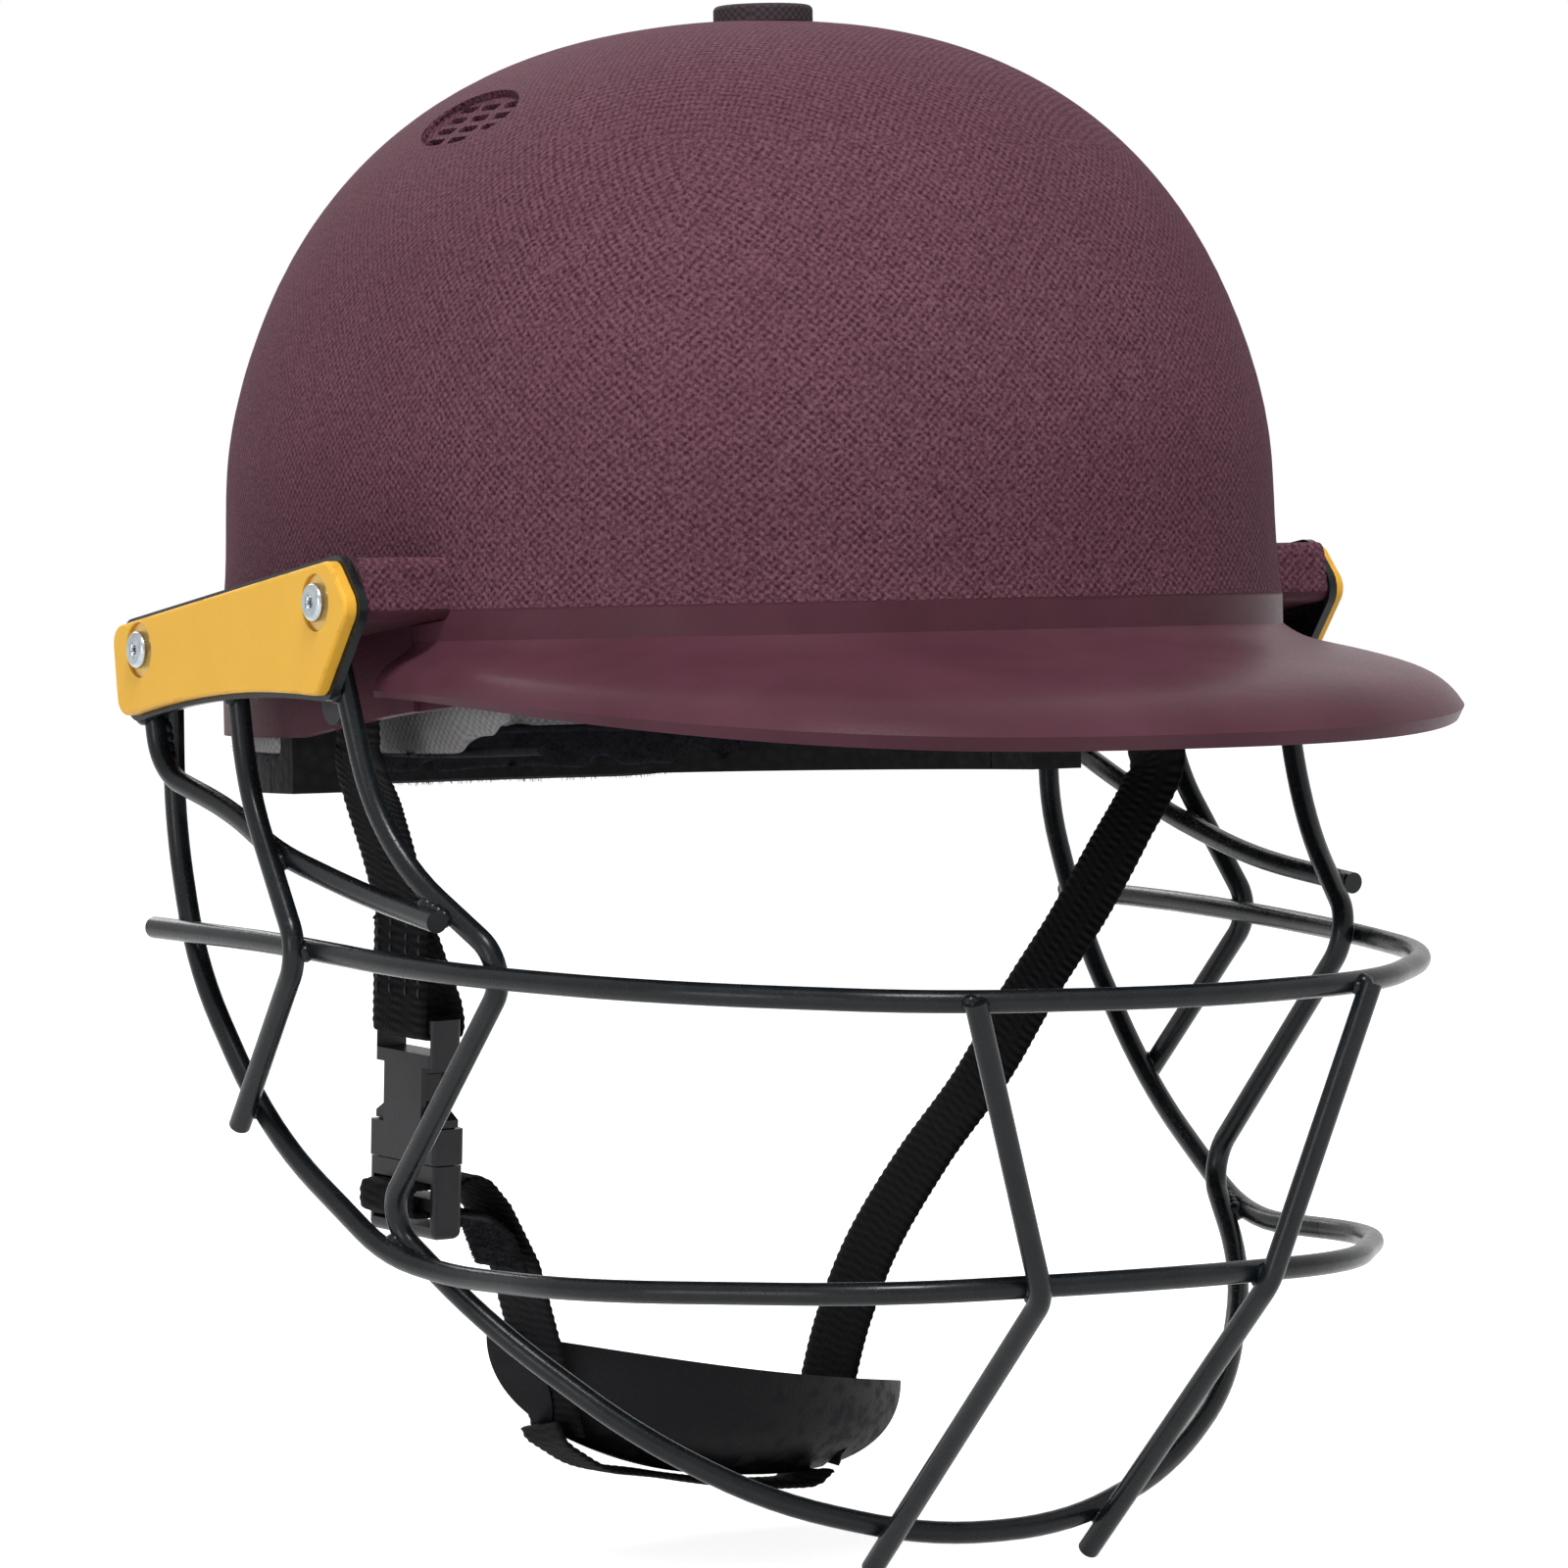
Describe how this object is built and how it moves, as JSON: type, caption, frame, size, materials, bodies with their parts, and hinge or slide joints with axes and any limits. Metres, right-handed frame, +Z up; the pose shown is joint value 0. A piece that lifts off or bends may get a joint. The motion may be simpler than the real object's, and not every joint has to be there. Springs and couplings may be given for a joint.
{
  "type": "cricket helmet",
  "caption": "Hard-shell cricket helmet with peak, padded liner, welded wire faceguard on side plates, and a buckled chin strap with cup.",
  "frame": {"origin": "on the mirror plane, level with the headband line, under the crown button: the middle of the head cavity's mouth", "axes": "+X to the wearer's left, -Y to the front of the helmet, +Z up"},
  "size_m": [0.2682, 0.3285, 0.3536],
  "materials": {
    "shell_cloth": "woven cloth texture, satin",
    "peak_gloss": "smooth satin",
    "button_black": "smooth satin",
    "liner_black": "brushed fabric over foam",
    "pad_fabric": "brushed fabric",
    "guard_steel": "dark satin powder coat",
    "cover_yellow": "smooth satin",
    "screw_steel": "bright zinc",
    "rivet_steel": "dull",
    "insert_brass": "plain",
    "webbing_black": "ribbed webbing",
    "buckle_black": "moulded, satin",
    "cup_rubber": "matt"
  },
  "bodies": {
    "helmet": {"shell": "shell_cloth", "peak": "peak_gloss", "top_button": "button_black", "foam_crown": "liner_black", "foam_front": "liner_black", "foam_rear": "liner_black", "foam_left": "liner_black", "foam_right": "liner_black", "crown_pad": "pad_fabric", "brow_pad": "pad_fabric", "side_pad_left": "pad_fabric", "side_pad_right": "pad_fabric", "nape_pad": "pad_fabric", "cage_plate_left": "guard_steel", "cage_plate_right": "guard_steel", "side_cover_left": "cover_yellow", "side_cover_right": "cover_yellow", "cover_screws": "screw_steel", "cover_washers": "screw_steel", "shell_inserts": "insert_brass", "upper_bar": "guard_steel", "lower_bar": "guard_steel", "chin_loop": "guard_steel", "side_strut_left": "guard_steel", "side_strut_right": "guard_steel", "eye_spur_left": "guard_steel", "eye_spur_right": "guard_steel", "front_strut_left": "guard_steel", "front_strut_right": "guard_steel", "strap_rivet_left": "rivet_steel", "strap_rivet_right": "rivet_steel"},
    "harness": {"strap_left": "webbing_black", "strap_right": "webbing_black", "buckle_socket": "buckle_black", "buckle_plug": "buckle_black", "strap_tail": "webbing_black", "chin_cup": "cup_rubber", "cup_strap": "webbing_black"},
    "prong_front": {"prong_front": "buckle_black"},
    "prong_rear": {"prong_rear": "buckle_black"}
  },
  "joints": [
    {"name": "harness_swing", "type": "hinge", "parent": "helmet", "child": "harness", "pos_m": [0, 0.005, -0.02], "axis": [1, 0, 0], "range_deg": [-20, 25]},
    {"name": "front_prong_squeeze", "type": "hinge", "parent": "harness", "child": "prong_front", "pos_m": [-0.08329, 0.01394, -0.12763], "axis": [-0.9903, -0.1386, -0.0112], "range_deg": [0, 7], "stiffness_Nm_per_rad": 0.4},
    {"name": "rear_prong_squeeze", "type": "hinge", "parent": "harness", "child": "prong_rear", "pos_m": [-0.08593, 0.0327, -0.12612], "axis": [-0.9903, -0.1386, -0.0112], "range_deg": [-7, 0], "stiffness_Nm_per_rad": 0.4}
  ],
  "couplings": [
    {"joint": "rear_prong_squeeze", "follows": "front_prong_squeeze", "ratio": -1}
  ]
}
